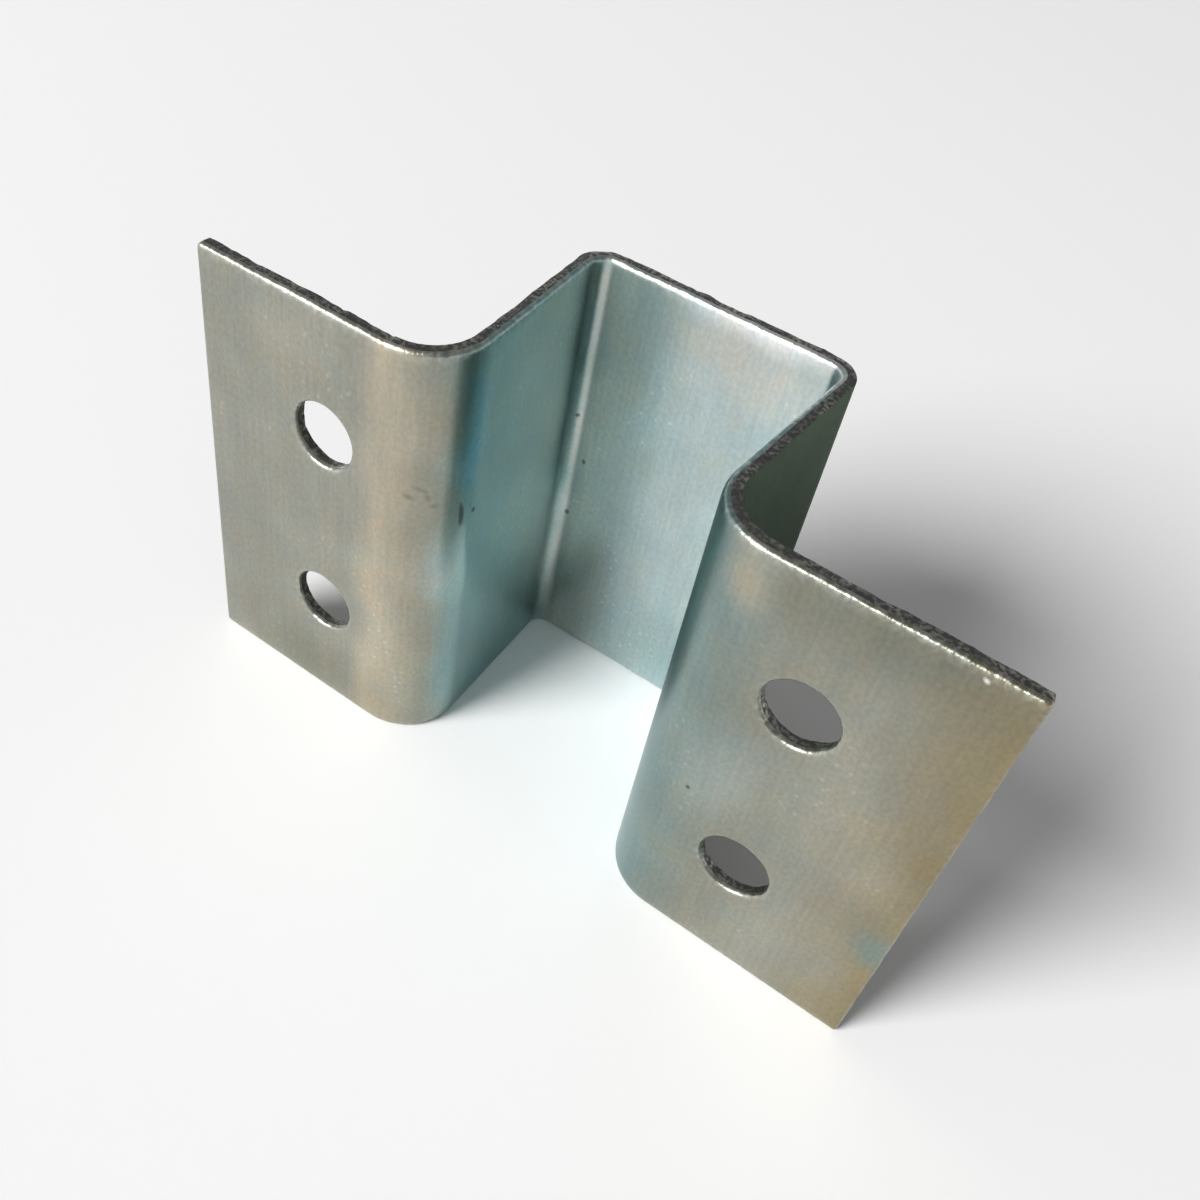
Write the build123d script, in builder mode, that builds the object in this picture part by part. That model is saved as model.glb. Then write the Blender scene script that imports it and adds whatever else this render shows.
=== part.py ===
"""Stamped hat-section bracket: one strip of zinc-plated sheet, folded four times.

The bracket stands on one sheared edge, the way it stays put when set down.
+Z runs along the bend lines, X runs from one bolted flange to the other, and -Y is
the open side of the channel, where both flanges bear on what they are bolted to.
The origin is the middle of the footprint, on the surface the bracket stands on.
All lengths are in millimetres and all angles in degrees.
"""

from build123d import *
from math import radians, tan
import os

# --- driving dimensions -----------------------------------------------------------

SHEET = 1.2  # thickness of the sheet
HEIGHT = 40.0  # width of the strip, along the bend lines
OVERALL_WIDTH = 64.0  # from one flange's sheared end to the other's

CHANNEL_WIDTH = 20.4  # between the webs' inner faces, where they meet the crown
CHANNEL_DEPTH = 20.0  # from the flanges' bearing plane to the crown's inner face
WEB_LEAN = 3.0  # each web is folded this far past square, so the mouth is narrower

CROWN_BEND_RADIUS = 1.2  # inside radius of the two bends beside the crown
FLANGE_BEND_RADIUS = 4.0  # inside radius of the two bends beside the flanges

HOLE_DIAMETER = 5.5  # clears an M5 bolt
HOLE_COLUMNS = 40.0  # across the channel, from one flange's holes to the other's
HOLE_PITCH = 17.8  # between the two holes of one flange

CORNER_RADIUS = 0.4  # eased corners of the sheared blank
EDGE_ROLL = 0.25  # die-roll, where the punch drew the front face over the cut

# --- derived sizes ----------------------------------------------------------------

# The flanges' bearing plane and the crown's inner face, both on the front surface,
# placed so that the folded sheet is centred on the origin from front to back.
flange_y = -(CHANNEL_DEPTH + SHEET) / 2
crown_y = flange_y + CHANNEL_DEPTH

half_width = OVERALL_WIDTH / 2
half_crown = CHANNEL_WIDTH / 2
half_mouth = half_crown - CHANNEL_DEPTH * tan(radians(WEB_LEAN))

# The front surface is the outside of a flange bend and the inside of a crown bend.
flange_bend = FLANGE_BEND_RADIUS + SHEET
crown_bend = CROWN_BEND_RADIUS

# The roll on an edge always leaves some of the sheared wall under it.
edge_roll = min(EDGE_ROLL, SHEET / 3)

# Length within which a point counts as lying on a surface.
touching = 0.01

# --- the bracket ------------------------------------------------------------------

with BuildPart() as bracket:
    # Section of the folded sheet. The front surface is drawn as one line from the
    # left flange to the right one, and the sheet lies wholly behind it, so that the
    # two faces of every bend share one centre.
    with BuildSketch(Plane.XY) as section:
        with BuildLine() as fold:
            front = FilletPolyline(
                (-half_width, flange_y),
                (-half_mouth, flange_y),
                (-half_crown, crown_y),
                (half_crown, crown_y),
                (half_mouth, flange_y),
                (half_width, flange_y),
                radius=[flange_bend, crown_bend, crown_bend, flange_bend],
            )
            offset(front, amount=SHEET, side=Side.LEFT)
        make_face()
    extrude(amount=HEIGHT)

    # Four bolt holes, two on each flange, square to the bearing plane.
    bearing_plane = Plane(
        origin=(0, flange_y, HEIGHT / 2),
        x_dir=(1, 0, 0),
        z_dir=(0, -1, 0),
    )
    with Locations(bearing_plane):
        with GridLocations(HOLE_COLUMNS, HOLE_PITCH, 2, 2):
            Hole(radius=HOLE_DIAMETER / 2, depth=2 * SHEET)

    # The strip's four corners are the short edges across the sheet at its two ends.
    across_sheet = bracket.edges().filter_by(Axis.Y)
    corners = across_sheet.group_by(Axis.X)[0] + across_sheet.group_by(Axis.X)[-1]
    fillet(corners, radius=CORNER_RADIUS)

    # Die-roll: the outline and the hole rims are drawn over on the front face alone,
    # and the back face keeps the sharp edge that shearing leaves. The bend lines lie
    # on the front face too, but they are smooth and stay as they are.
    def is_front_rim(edge):
        middle = edge @ 0.5
        on_front = front.distance_to(Vertex(middle.X, middle.Y, 0)) < touching
        at_strip_end = abs(middle.X) > half_width - touching
        is_bend_line = abs((edge % 0.5).Z) > 1 - touching and not at_strip_end
        return on_front and not is_bend_line

    fillet(bracket.edges().filter_by(is_front_rim), radius=edge_roll)

bracket.part.label = "bracket"

os.makedirs("parts", exist_ok=True)
export_step(bracket.part, "parts/bracket.step")
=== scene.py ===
# %% [markdown]
# # A folded steel bracket with a zinc finish
# The real bracket is one strip of steel. A press cuts the strip, punches four
# bolt holes and folds it four times, and then the whole part goes into a zinc
# bath. This lesson makes the bracket in the same order, because each step leaves
# its own mark: a rounded rim where the cutter went in, a torn edge where it came
# out, an even bend, and a thin film whose colour drifts over the sheet.
# The first cell loads the solid model as the frame, and keeps its box.

# %% Load the frame
import math

import bmesh
import bpy
from mathutils import Matrix, Vector, noise


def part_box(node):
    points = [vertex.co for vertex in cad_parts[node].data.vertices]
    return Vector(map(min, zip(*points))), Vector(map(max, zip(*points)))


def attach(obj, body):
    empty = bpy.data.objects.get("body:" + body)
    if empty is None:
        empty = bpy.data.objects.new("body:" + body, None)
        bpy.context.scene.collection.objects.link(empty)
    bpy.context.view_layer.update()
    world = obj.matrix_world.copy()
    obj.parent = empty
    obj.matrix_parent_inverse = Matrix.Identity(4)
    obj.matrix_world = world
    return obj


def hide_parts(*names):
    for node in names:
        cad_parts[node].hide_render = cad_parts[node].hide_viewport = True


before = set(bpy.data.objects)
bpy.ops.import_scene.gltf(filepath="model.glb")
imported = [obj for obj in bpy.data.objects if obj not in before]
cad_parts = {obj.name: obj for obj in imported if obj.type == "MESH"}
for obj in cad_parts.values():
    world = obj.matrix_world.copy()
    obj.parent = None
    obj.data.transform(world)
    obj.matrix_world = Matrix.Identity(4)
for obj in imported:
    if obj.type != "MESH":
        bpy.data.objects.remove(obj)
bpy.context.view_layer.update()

cad_low, cad_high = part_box("bracket")
mm = 0.001
print("solid model, mm:", [round(size / mm, 2) for size in cad_high - cad_low])

# %% [markdown]
# ## Sizes of the sheet and its folds
# A folded part is planned flat. Each bend is given by the radius of its front
# face and by its angle. The webs are folded three degrees past square, so that
# the mouth of the channel is a little narrower than its crown. The length of the
# flat strip could be guessed and stretched to fit, but adding its flats and arcs
# gives it exactly, and then every fold lands where the solid model has it.

# %% Sizes
sheet = 1.2 * mm
height = cad_high.z - cad_low.z
half_width = (cad_high.x - cad_low.x) / 2
channel_depth = 20 * mm
half_crown = 10.2 * mm
web_lean = math.radians(3)
bend_angle = math.radians(90) + web_lean
crown_radius = 1.2 * mm
flange_radius = 5.2 * mm
hole_radius = 2.75 * mm
hole_from_middle = 20 * mm
hole_pitch = 17.8 * mm


def setback(radius):
    """How much of each flat a bend of this radius uses up."""
    return radius * math.tan(bend_angle / 2)


half_mouth = half_crown - channel_depth * math.tan(web_lean)
web_flat = channel_depth / math.cos(web_lean) - setback(crown_radius) - setback(flange_radius)
crown_line = half_crown - setback(crown_radius)
web_start = crown_line + crown_radius * bend_angle
flange_line = web_start + web_flat
flange_start = flange_line + flange_radius * bend_angle
flat_of_corner = flange_start - half_mouth - setback(flange_radius)
half_blank = flat_of_corner + half_width
hole_x = flat_of_corner + hole_from_middle
print("flat strip, mm:", round(2 * half_blank / mm, 2), "by", round(height / mm, 2))

# %% [markdown]
# ## Half of the flat blank
# The blank lies on the bench with its front face up. A single quad could carry
# it, but a fold only looks round if the sheet has enough lines across the bend,
# and a torn edge needs points to move. So one quad is cut by bisect_plane into
# small cells: fine ones in the bends and along the rims, and half-millimetre ones
# elsewhere.

# %% Cut the half blank into cells
def lines_between(stops, step):
    """Evenly spaced cutting places between stops, with the inner stops among them."""
    places = []
    for start, end in zip(stops, stops[1:]):
        count = max(1, round((end - start) / step))
        places += [start + (end - start) * i / count for i in range(1, count + 1)]
    return places[:-1]


def cut_across(mesh, places, normal):
    """Cut the whole mesh at each place along the normal."""
    for place in places:
        everything = mesh.verts[:] + mesh.edges[:] + mesh.faces[:]
        plane = Vector(normal)
        bmesh.ops.bisect_plane(mesh, geom=everything, dist=1e-7, plane_co=plane * place, plane_no=plane)


cell = 0.5 * mm
block = 4 * mm
hole_rows = [(height - hole_pitch) / 2, (height + hole_pitch) / 2]

blank = bmesh.new()
bmesh.ops.create_grid(blank, x_segments=1, y_segments=1, size=0.5)
bmesh.ops.translate(blank, vec=(0.5, 0.5, 0), verts=blank.verts)
bmesh.ops.scale(blank, vec=(half_blank, height, 1), verts=blank.verts)

bend_stops = [crown_line, web_start, flange_line, flange_start]
cut_across(blank, bend_stops, (1, 0, 0))
cut_across(blank, lines_between([0, crown_line], cell), (1, 0, 0))
cut_across(blank, lines_between([crown_line, web_start], cell / 3), (1, 0, 0))
cut_across(blank, lines_between([web_start, flange_line], cell), (1, 0, 0))
cut_across(blank, lines_between([flange_line, flange_start], cell / 1.4), (1, 0, 0))
cut_across(blank, lines_between([flange_start, hole_x - block, hole_x + block, half_blank], cell), (1, 0, 0))
low_row, high_row = hole_rows
row_stops = [0, low_row - block, low_row + block, high_row - block, high_row + block, height]
cut_across(blank, lines_between(row_stops, cell), (0, 1, 0))
roll_width = 1.0 * mm
roll_cut = 0.75 * roll_width
cut_across(blank, [roll_cut, height - roll_cut], (0, 1, 0))
cut_across(blank, [half_blank - roll_cut], (1, 0, 0))
print("cells in half the blank:", len(blank.faces))

# %% [markdown]
# ## Punch the holes
# A punch drives a round slug out of the sheet. A boolean cut would leave long,
# thin faces that shade badly. Instead a square block of cells is taken out, and
# a ring of quads is put back, from the round rim to the square, with
# bridge_loops. Two loops in one plane don't tell that tool which way round they
# run, so the round one is lifted first and pressed flat again afterwards.

# %% Punch
rim_land = 0.55 * mm


def punch(mesh, x, y):
    """Swap the square block of cells round x, y for a ring with a round hole."""
    def reach(point):
        return max(abs(point.x - x), abs(point.y - y))

    slug = [face for face in mesh.faces if reach(face.calc_center_median()) < block]
    bmesh.ops.delete(mesh, geom=slug, context="FACES")
    square = [edge for edge in mesh.edges if edge.is_boundary and reach(edge.verts[0].co) < block * 1.01]
    place = Matrix.Translation((x, y, 0)) @ Matrix.Rotation(math.pi / 4, 4, "Z")
    rim = bmesh.ops.create_circle(mesh, segments=len(square), radius=hole_radius, matrix=place)["verts"]
    rim_edges = list(dict.fromkeys(edge for vert in rim for edge in vert.link_edges))
    land = bmesh.ops.extrude_edge_only(mesh, edges=rim_edges)["geom"]
    outer = [item for item in land if isinstance(item, bmesh.types.BMVert)]
    land_edges = [item for item in land if isinstance(item, bmesh.types.BMEdge)]
    outer_edges = [edge for edge in land_edges if all(vert in outer for vert in edge.verts)]
    grow = 1 + rim_land / hole_radius
    bmesh.ops.scale(mesh, vec=(grow, grow, 1), verts=outer, space=Matrix.Translation((-x, -y, 0)))
    bmesh.ops.translate(mesh, vec=(0, 0, block), verts=outer)
    bmesh.ops.bridge_loops(mesh, edges=square + outer_edges)
    bmesh.ops.translate(mesh, vec=(0, 0, -block), verts=outer)
    return len(square)


for row in hole_rows:
    print("hole at, mm:", round(hole_x / mm, 2), round(row / mm, 2), "points:", punch(blank, hole_x, row))

# %% [markdown]
# ## Mirror the blank and give it its thickness
# The strip is the same on both sides of its middle, so mirror makes the other
# half, and the doubled points on the middle line are merged. A small vertex
# bevel takes off the corners, as the cutting tool does. The back face is then
# extruded down by the thickness. Cuts along the wall part it into the bands that
# shearing leaves: rolled in at the front, burnished, and torn at the back.

# %% Mirror and thicken
one_half = blank.verts[:] + blank.edges[:] + blank.faces[:]
bmesh.ops.mirror(blank, geom=one_half, axis="X", merge_dist=1e-6)
bmesh.ops.remove_doubles(blank, verts=blank.verts, dist=1e-6)

corner_radius = 0.4 * mm
corners = [
    vert for vert in blank.verts
    if half_blank - abs(vert.co.x) < 1e-6 and min(vert.co.y, height - vert.co.y) < 1e-6
]
bmesh.ops.bevel(
    blank, geom=corners, offset=corner_radius, offset_type="OFFSET", segments=4,
    profile=0.5, affect="VERTICES", material=-1
)
bmesh.ops.recalc_face_normals(blank, faces=blank.faces)
if blank.faces[0].normal.z < 0:
    bmesh.ops.reverse_faces(blank, faces=blank.faces)

grown = bmesh.ops.extrude_face_region(blank, geom=blank.faces[:])["geom"]
back_verts = [item for item in grown if isinstance(item, bmesh.types.BMVert)]
bmesh.ops.translate(blank, vec=(0, 0, -sheet), verts=back_verts)
bmesh.ops.recalc_face_normals(blank, faces=blank.faces)

burnish_depth = 0.5 * mm
torn_rows = [-0.72 * mm, -0.96 * mm]
cut_across(blank, [-burnish_depth] + torn_rows, (0, 0, 1))
open_edges = sum(edge.is_boundary for edge in blank.edges)
print("corners:", len(corners), "faces:", len(blank.faces), "open edges:", open_edges)

# %% [markdown]
# ## Roll the front rims
# Where the cutter enters, it drags the surface down with it before it bites, so
# the front rims of the strip and of each hole are softly rounded. That round is
# what catches the light as a thin bright line. A Bevel modifier would round the
# back rims too, so here bmesh bevels the front rim edges alone.

# %% Roll
edge_roll = 0.38 * mm


def is_wall(face):
    """True for a face that the cutter made, which stands across the sheet."""
    return abs(face.normal.z) < 0.5


front_rim = [
    edge for edge in blank.edges
    if all(vert.co.z > -1e-6 for vert in edge.verts) and any(is_wall(face) for face in edge.link_faces)
]
bmesh.ops.bevel(
    blank, geom=front_rim, offset=edge_roll, offset_type="OFFSET", segments=4,
    profile=0.5, affect="EDGES", material=-1, clamp_overlap=True
)
print("front rim edges rolled:", len(front_rim), "faces now:", len(blank.faces))

# %% [markdown]
# ## Note where each point was while the sheet was flat
# Rolling marks, drifts of colour and scratches belong to the sheet, so they turn
# with it round a bend. Object coordinates would cut straight through a bend. A
# UV map taken before folding keeps each point's place in the flat strip: one
# unit is 100 mm. Each face also gets its material slot here, while front, back
# and torn wall are still easy to tell apart, and a "rim" value tells how near each
# point of the front is to a cut rim: 1 at the rim, and 0 past the roll's width.

# %% Map and slots
front_slot, back_slot, torn_slot = 0, 1, 2
map_unit = 100 * mm


def slot_for(face):
    if is_wall(face) and face.calc_center_median().z < -burnish_depth:
        return torn_slot
    return back_slot if face.normal.z < -0.5 else front_slot


flat_map = blank.loops.layers.uv.new("flat_strip")
for face in blank.faces:
    face.material_index = slot_for(face)
    for loop in face.loops:
        loop[flat_map].uv = loop.vert.co.xy / map_unit

hole_roll_width = 0.6 * mm
rim_layer = blank.verts.layers.float.new("rim")


def rim_nearness(point):
    """1 at the long rims and the holes, half at the cropped ends, and 0 past the roll's width."""
    x, y = abs(point.x), point.y
    to_side = min(0.5 + (half_blank - x) / roll_width, y / roll_width, (height - y) / roll_width)
    to_hole = min(math.hypot(x - hole_x, y - row) - hole_radius for row in hole_rows) / hole_roll_width
    return max(0.0, 1.0 - max(0.0, min(to_side, to_hole)))


for vert in blank.verts:
    vert[rim_layer] = rim_nearness(vert.co) if vert.co.z > -burnish_depth * 1.01 else 0.0
for edge in blank.edges:
    on_back = all(vert.co.z < -sheet + 1e-6 for vert in edge.verts)
    edge.smooth = not (on_back and any(is_wall(face) for face in edge.link_faces))
print("faces by slot:", [sum(f.material_index == slot for f in blank.faces) for slot in range(3)])

# %% [markdown]
# ## Draw the front face down towards its rims
# The roll at the very rim is only the end of a wider dip: the cutter pulls the
# face down over about a millimetre before the steel gives. A wider bevel would
# cut the rim away, so the points of the front are lowered instead, by the square
# of the rim value, which starts level and is steepest at the rim. The points of
# the wall follow, less and less, down to the end of the burnished band.

# %% Draw down
draw_depth = 0.15 * mm


def follow(vert):
    """1 for a point of the front face, falling to 0 at the end of the burnished band."""
    return 1 + min(vert.co.z, 0) / burnish_depth


for vert in blank.verts:
    vert.co.z -= draw_depth * vert[rim_layer] ** 2 * follow(vert)
print("front points drawn down:", sum(vert[rim_layer] > 0 for vert in blank.verts))

# %% [markdown]
# ## Tear the cut walls
# Past the burnished band the steel lets go and tears, so the wall steps back and
# its edge is ragged. Where a bend squeezes the sheet, the edge is pushed out
# again, so there it steps back less. Noise from mathutils gives a ragged line
# that is the same every run. The points only ever move inwards, so the bracket
# never outgrows the solid model.

# %% Tear
tear_depth = 0.16 * mm
dent_depth = 0.07 * mm
wave_depth = 0.06 * mm


def way_out(vert):
    """The direction, in the plane of the sheet, that points out of the cut wall."""
    total = Vector()
    for face in vert.link_faces:
        if is_wall(face):
            total += Vector((face.normal.x, face.normal.y, 0))
    return total.normalized() if total.length > 0.3 else None


def rough_line(point, sizes):
    """Noise of several sizes, in mm, added up and kept between 0 and 1."""
    total = sum(noise.noise(point / (size * mm)) * share for size, share in sizes)
    return min(1.0, max(0.0, 0.5 + total))


moves = []
for vert in blank.verts:
    out = way_out(vert)
    if out is None:
        continue
    past_burnish = max(0.0, (-vert.co.z - burnish_depth) / (sheet - burnish_depth))
    tear = rough_line(vert.co, [(2.3, 0.5), (0.9, 0.6), (0.4, 0.4)]) * past_burnish
    squeezed = flange_line < abs(vert.co.x) < flange_start and abs(out.y) > 0.5
    dent = rough_line(vert.co, [(1.3, 0.7), (0.5, 0.5)]) * vert[rim_layer]
    wave = rough_line(Vector((vert.co.x, vert.co.y, 0)), [(2.9, 0.6), (1.1, 0.5)])
    tear_share, wave_share = (0.2, 0.0) if squeezed else (1.0, 1.0)
    step_back = tear_depth * tear * tear_share + wave_depth * wave * wave_share
    moves.append((vert, out * -step_back + vert.normal * -dent_depth * dent))
for vert, move in moves:
    vert.co += move
print("points moved on the cut walls:", len(moves))

# %% [markdown]
# ## Fold the sheet
# Bending keeps a flat flat on each side of the bend line, and wraps the strip
# round a bar in between. A Simple Deform modifier bends everything at once, so a
# short function does what the press does: points past the line wrap round the
# bar's axis, and points past the bend turn with it as one piece. Both wings fold
# together, first at the flanges, then at the crown.

# %% Fold
def fold(mesh, line, axis_height, angle):
    """Wrap both wings, past plus and minus line, round a bar whose axis is at axis_height."""
    arc = abs(axis_height * angle)
    for vert in mesh.verts:
        past = abs(vert.co.x) - line
        if past <= 0:
            continue
        turned = angle * min(past / arc, 1)
        out = max(past - arc, 0)
        up = vert.co.z - axis_height
        reached = line + out * math.cos(turned) - up * math.sin(turned)
        vert.co.x = math.copysign(reached, vert.co.x)
        vert.co.z = axis_height + out * math.sin(turned) + up * math.cos(turned)


fold(blank, flange_line, -flange_radius, -bend_angle)
fold(blank, crown_line, crown_radius, bend_angle)
upright = Matrix.Rotation(math.radians(90), 4, "X")
in_place = Matrix.Translation((0, cad_high.y - sheet, cad_low.z)) @ upright
bmesh.ops.transform(blank, matrix=in_place, verts=blank.verts)
bmesh.ops.recalc_face_normals(blank, faces=blank.faces)
for face in blank.faces:
    face.smooth = True

# %% [markdown]
# ## Hand the folded sheet over as the bracket
# The solid model stays in the file for the physics, and this piece stands for it.
# Its place is in its mesh and its object sits at the origin, so that patterns and
# exports agree. The volume is measured as a test that the faces point outwards.

# %% The bracket piece
volume = blank.calc_volume(signed=True)
triangles = sum(len(face.verts) - 2 for face in blank.faces)
bracket_mesh = bpy.data.meshes.new("folded_bracket")
blank.to_mesh(bracket_mesh)
blank.free()
bracket = bpy.data.objects.new("folded_bracket", bracket_mesh)
bpy.context.scene.collection.objects.link(bracket)
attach(bracket, "root")
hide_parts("bracket")
print("bracket triangles:", triangles, "volume, mm3:", round(volume / mm ** 3, 1))

# %% [markdown]
# ## Small tools for the finishes
# Every finish is built from the same few shader nodes, so short helpers add them
# and join them. A helper takes plain numbers or the output of another node. The
# sizes of noise are given in millimetres on the flat strip, across it and up it.

# %% Shader helpers
def feed(tree, socket, value):
    """Join a node's output to a socket, or set the socket to a plain value."""
    if isinstance(value, bpy.types.NodeSocket):
        tree.links.new(value, socket)
    else:
        socket.default_value = value


def calc(tree, operation, *values):
    """A Math node on plain numbers or other nodes' outputs."""
    step = tree.nodes.new("ShaderNodeMath")
    step.operation = operation
    for socket, value in zip(step.inputs, values):
        feed(tree, socket, value)
    return step.outputs[0]


def blend_colours(tree, share, first, second, way="MIX"):
    """A Mix node on two colours; its inputs 0, 6 and 7 are the share and the colours."""
    step = tree.nodes.new("ShaderNodeMix")
    step.data_type = "RGBA"
    step.blend_type = way
    for index, value in ((0, share), (6, first), (7, second)):
        feed(tree, step.inputs[index], value)
    return step.outputs[2]


def spread(tree, value, low, high, to_low=0.0, to_high=1.0):
    """Map low..high smoothly to to_low..to_high, and hold it there outside."""
    step = tree.nodes.new("ShaderNodeMapRange")
    step.interpolation_type = "SMOOTHSTEP"
    for socket, number in zip(step.inputs, (value, low, high, to_low, to_high)):
        feed(tree, socket, number)
    return step.outputs[0]


def placed(tree, where, centre, size):
    """Coordinates that are 0 at centre and 1 at size away from it, both in mm on the flat strip."""
    step = tree.nodes.new("ShaderNodeMapping")
    unit = map_unit / mm
    step.inputs["Scale"].default_value = (unit / size[0], unit / size[1], 1)
    step.inputs["Location"].default_value = (-centre[0] / size[0], -centre[1] / size[1], 0)
    tree.links.new(where, step.inputs["Vector"])
    return step.outputs[0]


def grain(tree, where, across, up, detail=2.0, seed=0.0):
    """Noise whose features are this many mm across and up the flat strip."""
    step = tree.nodes.new("ShaderNodeTexNoise")
    step.noise_dimensions = "2D"
    step.inputs["Scale"].default_value = 1
    step.inputs["Detail"].default_value = detail
    feed(tree, step.inputs["Vector"], placed(tree, where, (seed * across, seed * up), (across, up)))
    return step.outputs["Fac"]


def start_material(name):
    """A new metal material: its tree, its shader and the flat strip's coordinates."""
    material = bpy.data.materials.new(name)
    material.use_nodes = True
    tree = material.node_tree
    shader = tree.nodes["Principled BSDF"]
    shader.inputs["Metallic"].default_value = 1
    flat = tree.nodes.new("ShaderNodeUVMap")
    flat.uv_map = "flat_strip"
    bracket_mesh.materials.append(material)
    return tree, shader, flat.outputs[0]


# %% Bump helper
def add_bump(tree, shader, relief, height_of_one):
    """Raise the shading by relief times this height."""
    bump = tree.nodes.new("ShaderNodeBump")
    bump.inputs["Strength"].default_value = 1
    bump.inputs["Distance"].default_value = height_of_one
    tree.links.new(relief, bump.inputs["Height"])
    tree.links.new(bump.outputs[0], shader.inputs["Normal"])


print("finishes use the flat map:", bracket_mesh.uv_layers[0].name)

# %% [markdown]
# ## The colour of the film, with painted light in it
# Zinc straight from the bath is a bright grey. The clear film that protects it
# is so thin that it colours light as oil on water does, and it is thicker where
# the bath moved slowly. So the channel looks blue-green, and the flanges drift
# to straw and brown. Part of the colour is painted light, not film: painted
# reflection bands run across the left bend, and the inside of the crown's left
# bend has painted shade with a painted highlight beside it. The crown's lighter
# tone and the right flange's darker one are partly the film and partly painted
# light. On the back, the right web's outer face is painted dark as painted shade.
# A dozen plain colours are named first, as a painter sets out a palette. A colour
# ramp along the flat strip then gives the slow change. Its stops are millimetres
# from the middle, and some are at the fold lines, where the film changes as the
# sheet turns and where the bends' painted light sits. Noise keeps its lines from
# running straight.

# %% Film colours along the strip
# Some colours below stand for light: the pale one only paints highlight, the near white paints the crown's
# highlight and one small spot, and the darkest green paints shade on the back.
near_white = (0.95, 0.95, 0.95)
painted_highlight_pale = (0.60, 0.60, 0.55)
cool_zinc = (0.50, 0.60, 0.60)
sea_green = (0.25, 0.40, 0.40)
deep_green = (0.20, 0.30, 0.30)
painted_shade_green = (0.15, 0.20, 0.15)
blue = (0.25, 0.50, 0.60)
warm_grey = (0.35, 0.35, 0.30)
olive_grey = (0.30, 0.30, 0.25)
dark_olive = (0.20, 0.20, 0.15)
straw = (0.50, 0.45, 0.35)
brown = (0.30, 0.25, 0.15)

strip_end, outer_bend, inner_bend = half_blank / mm, flange_start / mm, flange_line / mm
web_foot, crown_side = web_start / mm, crown_line / mm
# Stops that are painted light: the straw and olive across the left bend are painted reflection bands; the
# deep green at the foot of the left web is painted shade in the crease of the crown's bend, and the pale
# stop past it a painted highlight; the crown's cool zinc and the right flange's olive and brown are partly
# film and partly painted light.
front_film_and_painted_light = [
    (-strip_end, warm_grey), (-35, warm_grey), (-outer_bend, straw), (-28, olive_grey),
    (-inner_bend, sea_green), (-13, sea_green), (-web_foot, deep_green), (-8, painted_highlight_pale),
    (-3, cool_zinc), (crown_side, cool_zinc), (17, sea_green), (28, deep_green),
    (36, olive_grey), (42, warm_grey), (strip_end, brown),
]
# The back's dark green over the right web's outer face, from its foot to the flange bend, is painted shade.
back_film_and_painted_shade = [
    (-strip_end, warm_grey), (-inner_bend, olive_grey), (0, warm_grey), (web_foot, painted_shade_green),
    (inner_bend, painted_shade_green), (outer_bend, olive_grey), (strip_end, olive_grey),
]


def film_ramp(tree, where, stops):
    """A colour ramp whose stops are mm along the flat strip from its middle."""
    apart = tree.nodes.new("ShaderNodeSeparateXYZ")
    tree.links.new(where, apart.inputs[0])
    ramp = tree.nodes.new("ShaderNodeValToRGB")
    points = ramp.color_ramp.elements
    points.remove(points[1])
    for index, (place, colour) in enumerate(stops):
        point = points[0] if index == 0 else points.new(0.5 + place * mm / map_unit)
        point.position = 0.5 + place * mm / map_unit
        point.color = (*colour, 1)
    tree.links.new(calc(tree, "ADD", apart.outputs[0], 0.5), ramp.inputs[0])
    return ramp.outputs[0]


def wandering(tree, where, amount, size):
    """The same coordinates, pushed about by up to amount mm by noise of this size."""
    push = tree.nodes.new("ShaderNodeTexNoise")
    push.noise_dimensions = "2D"
    push.inputs["Scale"].default_value = map_unit / mm / size
    push.inputs["Detail"].default_value = 1
    tree.links.new(where, push.inputs["Vector"])
    centred = tree.nodes.new("ShaderNodeVectorMath")
    centred.operation = "SUBTRACT"
    centred.inputs[1].default_value = (0.5, 0.5, 0)
    tree.links.new(push.outputs["Color"], centred.inputs[0])
    moved = tree.nodes.new("ShaderNodeVectorMath")
    moved.operation = "MULTIPLY_ADD"
    moved.inputs[1].default_value = (2 * amount * mm / map_unit, 2 * amount * mm / map_unit, 0)
    tree.links.new(centred.outputs[0], moved.inputs[0])
    tree.links.new(where, moved.inputs[2])
    return moved.outputs[0]


print("stops on the front film:", len(front_film_and_painted_light))

# %% [markdown]
# ## Patches and marks
# A bath leaves patches where it pooled, and handling leaves pits and a fine
# scratch. Other patches are painted light: a painted highlight under the crown's
# top rim, and painted reflection bands down the left bend. Two only make the left
# flange and the crown darker towards the bottom, and a tiny spot on the right
# flange's top rim is made near white. Painting them would need an image, so each
# is a soft spot on the flat strip: a centre, a size, both in millimetres, the
# colour from the palette that it turns the film, and how strongly. A scratch is
# a row of spots.

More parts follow.
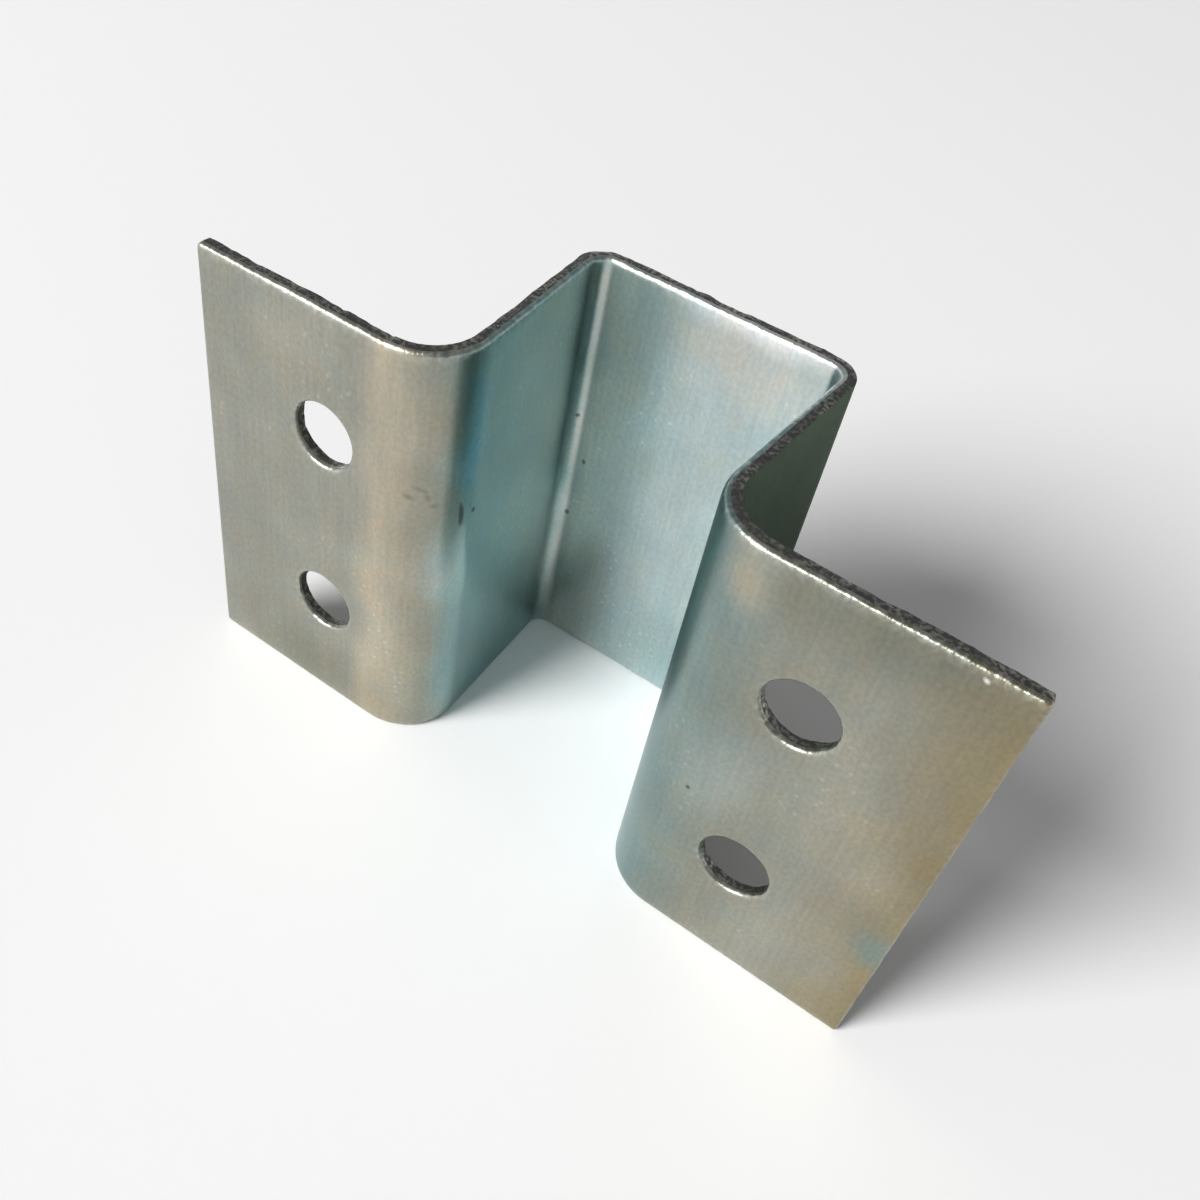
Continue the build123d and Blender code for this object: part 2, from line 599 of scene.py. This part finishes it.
# %% Patches
front_patches = [
    ((48, 36), (5, 7), brown, 0.4),
    ((45, 20), (5, 6), straw, 0.3),
    ((43, 7), (7, 9), warm_grey, 0.6),
    ((42, 39), (12, 6), dark_olive, 0.7),
    ((49, 12), (3, 4), deep_green, 0.7),
    ((32, 38), (3, 5), straw, 0.7),
    ((35, 20), (5, 8), cool_zinc, 0.3),
    ((-41, 35), (5, 6), straw, 0.3),
    # Darker towards the bottom of the left flange.
    ((-40, 3), (12, 7), dark_olive, 0.7),
    # Painted reflection bands down the left bend: a straw painted highlight near the flange, a blue band
    # above and a darker foot below near the web, and a lighter patch between.
    ((-31, 32), (2, 11), straw, 0.7),
    ((-25, 32), (2, 8), blue, 0.8),
    ((-25, 8), (3, 12), deep_green, 0.7),
    ((-27, 20), (3, 6), cool_zinc, 0.4),
    # Painted highlight under the crown's top rim.
    ((3, 37), (11, 6), painted_highlight_pale, 0.9),
    ((4, 40), (10, 2), near_white, 0.9),
    # Darker towards the bottom of the crown.
    ((4, 5), (9, 8), deep_green, 0.5),
]
scratch = [
    ((-30, 27), (0.7, 0.4)), ((-29, 28), (0.7, 0.4)),
    ((-28.7, 27.3), (0.3, 0.8)), ((-28.3, 26.5), (0.6, 0.4)),
]
front_patches += [(centre, size, dark_olive, 0.6) for centre, size in scratch]
# A tiny spot on the right flange's top rim, made near white.
rim_bright_spot = ((46, 39.4), (0.3, 0.3), near_white, 1.0)
front_patches.append(rim_bright_spot)


def spot(tree, where, centre, size, core=0.0):
    """1 inside core, falling smoothly to 0 at size from the centre."""
    length = tree.nodes.new("ShaderNodeVectorMath")
    length.operation = "LENGTH"
    tree.links.new(placed(tree, where, centre, size), length.inputs[0])
    return spread(tree, length.outputs["Value"], 1.0, core)


def patched(tree, where, colour, patches):
    """The colour with each patch's own colour laid softly over it."""
    for centre, size, tint, share in patches:
        cover = calc(tree, "MULTIPLY", spot(tree, where, centre, size), share)
        colour = blend_colours(tree, cover, colour, (*tint, 1))
    return colour


dark_marks = [
    ((-26, 25), (0.6, 2.4)), ((-24.5, 24.5), (0.5, 0.5)), ((-9.5, 25.5), (0.5, 0.5)),
    ((-8.5, 20.5), (0.4, 0.4)), ((-9, 15), (0.5, 0.5)), ((33.5, 17), (0.4, 0.4)),
    ((40, 13.5), (0.4, 0.4)), ((37.5, 9.5), (0.3, 0.3)),
]
print("patches:", len(front_patches), "marks:", len(dark_marks))

# %% [markdown]
# ## The plated faces
# Up close the plate is not smooth. Rolling left fine lines up and down the
# strip, the zinc grew as a satin grain over them, and a few light specks and
# dark pits sit on top. A mottle warms the film here and cools it there. The same
# noise drives three things, so that they agree: a little colour, a little
# roughness, and a bump of up to a tenth of a millimetre at the rims and far less
# elsewhere. The drawn rims carry a painted highlight in broken patches, and are
# lightly hammered and a little rougher.

# %% Film, specks and scuffs
warm_cast, cool_cast, cast_share = (1.15, 1.0, 0.8, 1), (0.8, 0.95, 1.05, 1), 0.22
specks_per_unit = 70
speck_light = 0.22


def film_colour(tree, where, film, patches):
    """The colours along the strip, film and painted light, its patches, and a mottle of warm and cool casts.
    """
    colour = patched(tree, where, film_ramp(tree, where, film), patches)
    mottle = grain(tree, where, 2.4, 3.6, 3.0, 7.0)
    warm = spread(tree, mottle, 0.5, 0.7, 0.0, cast_share)
    cool = spread(tree, mottle, 0.5, 0.3, 0.0, cast_share)
    colour = blend_colours(tree, warm, colour, warm_cast, "MULTIPLY")
    return blend_colours(tree, cool, colour, cool_cast, "MULTIPLY")


def light_specks(tree, flat, drift):
    """Small light dots where the drift is strong, and round one place on the left flange."""
    dots = tree.nodes.new("ShaderNodeTexVoronoi")
    dots.voronoi_dimensions = "2D"
    dots.inputs["Scale"].default_value = specks_per_unit
    tree.links.new(flat, dots.inputs["Vector"])
    near_dot = spread(tree, dots.outputs["Distance"], 0.16, 0.05)
    crowd = spot(tree, flat, (-37.5, 33.5), (7, 6))
    speckled = calc(tree, "MAXIMUM", spread(tree, drift, 0.54, 0.64), crowd)
    return calc(tree, "MULTIPLY", calc(tree, "MULTIPLY", near_dot, speckled), speck_light)


def scuff_cover(tree, where, satin, marks):
    """Near 1 in the middle of each dark mark, with an edge that the satin grain makes uneven."""
    cover = 0.0
    for centre, size in marks:
        cover = calc(tree, "MAXIMUM", cover, spot(tree, where, centre, size, 0.1))
    return spread(tree, calc(tree, "ADD", cover, calc(tree, "MULTIPLY", satin, 0.4)), 0.35, 1.3)


print("specks to a millimetre:", specks_per_unit * mm / map_unit)

# %% Plated finish
# The rim colour is a painted highlight, laid over the film in broken patches near the cut rims.
rim_highlight_colour = (0.70, 0.75, 0.70, 1)
smooth_plate, satin_plate, rim_rough, scuff_rough = 0.295, 0.325, 0.10, 0.25
scuff_value = 0.38
plate_bump = 0.004 * mm


def plate_finish(name, film, patches, marks, dull=0.0, sheen=1.0):
    """A zinc finish. Dull adds roughness, and a sheen under 1 darkens it at a glancing angle."""
    tree, shader, flat = start_material(name)
    shader.inputs["Specular Tint"].default_value = (sheen, sheen, sheen, 1)
    loose = wandering(tree, flat, 1.1, 7.0)
    drift = grain(tree, flat, 7, 10, 2.0, 5.0)
    lines = grain(tree, flat, 0.35, 9.0)
    satin = grain(tree, flat, 0.34, 0.46, 2.0, 11.0)
    chatter = grain(tree, flat, 0.55, 0.55, 2.0, 3.0)
    scuffs = scuff_cover(tree, loose, satin, marks)
    rim = tree.nodes.new("ShaderNodeAttribute")
    rim.attribute_name = "rim"
    rim_share = calc(tree, "POWER", rim.outputs["Fac"], 1.5)

    value = spread(tree, drift, 0.3, 0.7, 0.94, 1.06)
    value = calc(tree, "MULTIPLY", value, spread(tree, lines, 0.3, 0.7, 0.97, 1.03))
    value = calc(tree, "MULTIPLY", value, spread(tree, satin, 0.3, 0.7, 0.95, 1.05))
    value = calc(tree, "ADD", value, light_specks(tree, flat, drift))
    value = calc(tree, "MULTIPLY", value, spread(tree, scuffs, 0.0, 1.0, 1.0, scuff_value))
    tone = tree.nodes.new("ShaderNodeCombineColor")
    for socket in tone.inputs:
        tree.links.new(value, socket)
    # Painted highlight along the rolled rims, broken up by the chatter noise.
    rim_highlight_share = calc(tree, "MULTIPLY", rim_share, spread(tree, chatter, 0.42, 0.62, 0.05, 0.40))
    colour = blend_colours(tree, rim_highlight_share, film_colour(tree, loose, film, patches), rim_highlight_colour)
    colour = blend_colours(tree, 1.0, colour, tone.outputs[0], "MULTIPLY")
    tree.links.new(colour, shader.inputs["Base Color"])

    texture = calc(tree, "ADD", satin, lines)
    rough = spread(tree, texture, 0.6, 1.4, smooth_plate + dull, satin_plate + dull)
    rough = calc(tree, "ADD", rough, calc(tree, "MULTIPLY", rim_share, rim_rough))
    rough = calc(tree, "ADD", rough, calc(tree, "MULTIPLY", scuffs, scuff_rough))
    tree.links.new(rough, shader.inputs["Roughness"])

    hammered = calc(tree, "MULTIPLY", rim_share, chatter)
    relief = calc(tree, "ADD", calc(tree, "MULTIPLY", satin, 0.5), calc(tree, "MULTIPLY", lines, 0.4))
    relief = calc(tree, "ADD", relief, calc(tree, "MULTIPLY", drift, 7.0))
    relief = calc(tree, "ADD", relief, calc(tree, "MULTIPLY", hammered, 20.0))
    add_bump(tree, shader, relief, plate_bump)
    return len(tree.nodes)


print("front plate nodes:", plate_finish("zinc_front_and_painted_light", front_film_and_painted_light, front_patches, dark_marks))
# The back's sheen of 0.38 darkens it at a glancing angle, as painted shade.
print("back plate nodes:", plate_finish("zinc_back_painted_shade", back_film_and_painted_shade, [], [], dull=0.03, sheen=0.38))

# %% [markdown]
# ## The torn walls
# Torn steel is a field of tiny facets. Zinc covers it thinly, so it stays darker
# and rougher than the faces, with bright facets that come and go. Noise
# on Object coordinates suits it, because the wall is narrow and has no flat map
# of its own depth.

# %% Torn finish
dark_tear, bright_tear = (0.10, 0.10, 0.10, 1), (0.40, 0.40, 0.35, 1)
facet_size, patch_size = 0.35 * mm, 2.4 * mm
torn_bump = 0.05 * mm


def object_noise(tree, size, detail=2.0):
    """Noise whose features are this large, on Object coordinates."""
    step = tree.nodes.new("ShaderNodeTexNoise")
    step.inputs["Scale"].default_value = 1 / size
    step.inputs["Detail"].default_value = detail
    place = tree.nodes.new("ShaderNodeTexCoord")
    tree.links.new(place.outputs["Object"], step.inputs["Vector"])
    return step.outputs["Fac"]


def torn_finish():
    """Dark, rough steel with bright facets that come and go in patches."""
    tree, shader = start_material("zinc_torn")[:2]
    facets = object_noise(tree, facet_size, 4)
    patchy = spread(tree, object_noise(tree, patch_size), 0.4, 0.6, 0.4, 1.0)
    light = calc(tree, "MULTIPLY", spread(tree, facets, 0.42, 0.66), patchy)
    tree.links.new(blend_colours(tree, light, dark_tear, bright_tear), shader.inputs["Base Color"])
    tree.links.new(spread(tree, facets, 0.35, 0.65, 0.62, 0.42), shader.inputs["Roughness"])
    add_bump(tree, shader, facets, torn_bump)
    return len(tree.nodes)


print("torn wall nodes:", torn_finish())

# %% [markdown]
# ## The floor
# A plain pale floor shows the bracket's true colours and catches its shadow. It
# is one large disc, wide enough to reach the horizon, and it is not attached to
# the bracket's body, so it isn't part of the object. The lamp hardly reaches the
# far floor, which would end in a grey line, so far off it turns into an even
# white backdrop, but only for rays that show it: it lights nothing.

# %% Floor disc
floor_radius = 4
floor_build = bmesh.new()
bmesh.ops.create_circle(floor_build, cap_ends=True, segments=96, radius=floor_radius)
bmesh.ops.translate(floor_build, vec=(0, 0, cad_low.z), verts=floor_build.verts)
floor_mesh = bpy.data.meshes.new("floor")
floor_build.to_mesh(floor_mesh)
floor_build.free()
floor = bpy.data.objects.new("floor", floor_mesh)
bpy.context.scene.collection.objects.link(floor)
print("floor radius, m:", floor_radius)

# %% Floor paint
white_from, white_by = 0.8, 2.2


def shows_background(tree):
    """1 for a ray that shows what is behind: the camera's, a mirrored one or one through glass."""
    ray = tree.nodes.new("ShaderNodeLightPath").outputs
    seen = calc(tree, "MAXIMUM", ray["Is Camera Ray"], ray["Is Glossy Ray"])
    return calc(tree, "MAXIMUM", seen, ray["Is Transmission Ray"])


def paint_floor():
    """Pale matt paint that turns to an even white far off, for rays that show it."""
    paint = bpy.data.materials.new("floor_paint")
    paint.use_nodes = True
    floor_mesh.materials.append(paint)
    tree = paint.node_tree
    shader = tree.nodes["Principled BSDF"]
    shader.inputs["Base Color"].default_value = (0.97, 0.97, 0.97, 1)
    shader.inputs["Roughness"].default_value = 0.9
    shader.inputs["Specular IOR Level"].default_value = 0.1
    place = tree.nodes.new("ShaderNodeTexCoord")
    reach = tree.nodes.new("ShaderNodeVectorMath")
    reach.operation = "LENGTH"
    tree.links.new(place.outputs["Object"], reach.inputs[0])
    far_off = spread(tree, reach.outputs["Value"], white_from, white_by)
    glow = tree.nodes.new("ShaderNodeEmission")
    mix = tree.nodes.new("ShaderNodeMixShader")
    feed(tree, mix.inputs[0], calc(tree, "MULTIPLY", far_off, shows_background(tree)))
    tree.links.new(shader.outputs[0], mix.inputs[1])
    tree.links.new(glow.outputs[0], mix.inputs[2])
    tree.links.new(mix.outputs[0], tree.nodes["Material Output"].inputs["Surface"])
    return len(tree.nodes)


print("floor paint nodes:", paint_floor())

# %% [markdown]
# ## Soft light
# Metal shows what stands round it, so the light is planned as things to mirror:
# a pale horizon, a dimmer ceiling that leaves the upward edges dark, and one
# large soft lamp from the front left that draws the bright rims. The world
# lights things a little less strongly than it looks: rays that show it see it at
# full strength, so the metal still mirrors a white horizon. Lamp and world
# together light a level surface at about 1, so a colour renders about as it is
# written.

# %% World
light_strength, shown_strength = 0.75, 1.0
world = bpy.data.worlds.new("studio")
bpy.context.scene.world = world
world.use_nodes = True
sky = world.node_tree
direction = sky.nodes.new("ShaderNodeTexCoord")
apart = sky.nodes.new("ShaderNodeSeparateXYZ")
fade = sky.nodes.new("ShaderNodeValToRGB")
fade.color_ramp.interpolation = "EASE"
horizon, ceiling = fade.color_ramp.elements
horizon.position, horizon.color = 0.12, (1, 1, 1, 1)
ceiling.position, ceiling.color = 0.45, (0.22, 0.22, 0.22, 1)
sky.links.new(direction.outputs["Generated"], apart.inputs[0])
sky.links.new(apart.outputs["Z"], fade.inputs[0])
sky.links.new(fade.outputs[0], sky.nodes["Background"].inputs["Color"])
extra = shown_strength - light_strength
strength = calc(sky, "MULTIPLY_ADD", shows_background(sky), extra, light_strength)
feed(sky, sky.nodes["Background"].inputs["Strength"], strength)
print("world strength for light and for show:", light_strength, shown_strength)

# %% Key lamp
key_turn, key_rise, key_distance = math.radians(28), math.radians(35), 3.0
along_floor = math.cos(key_rise)
key_x, key_y = -math.sin(key_turn) * along_floor, -math.cos(key_turn) * along_floor
towards_key = Vector((key_x, key_y, math.sin(key_rise)))
key = bpy.data.lights.new("key", "AREA")
key.shape = "DISK"
key.size = 1.5
key.energy = 115
key_lamp = bpy.data.objects.new("key", key)
key_lamp.location = towards_key * key_distance
key_lamp.rotation_mode = "QUATERNION"
key_lamp.rotation_quaternion = towards_key.to_track_quat("Z", "Y")
bpy.context.scene.collection.objects.link(key_lamp)
floor_light = key.energy * math.sin(key_rise) / (math.pi * key_distance) ** 2
print("lamp's share of a level surface's light:", round(floor_light, 2))

# %% [markdown]
# ## The camera
# The camera looks down at the bracket from the right, close enough that the
# near flange is clearly larger than the far one. Its place, turn and lens give
# that perspective, and a small shift puts the bracket in the middle.

# %% Camera
lens = bpy.data.cameras.new("camera")
lens.lens = 37.615
lens.sensor_width = 36
lens.shift_x = 0.0833
lens.clip_start = 0.001
camera = bpy.data.objects.new("camera", lens)
camera.location = (29.197 * mm, -64.542 * mm, 89.067 * mm)
camera.rotation_euler = [math.radians(turn) for turn in (43.431, -5.667, 36.604)]
bpy.context.scene.collection.objects.link(camera)
bpy.context.scene.camera = camera
bpy.context.scene.view_settings.view_transform = "Standard"
print("camera distance, mm:", round(camera.location.length / mm, 1))
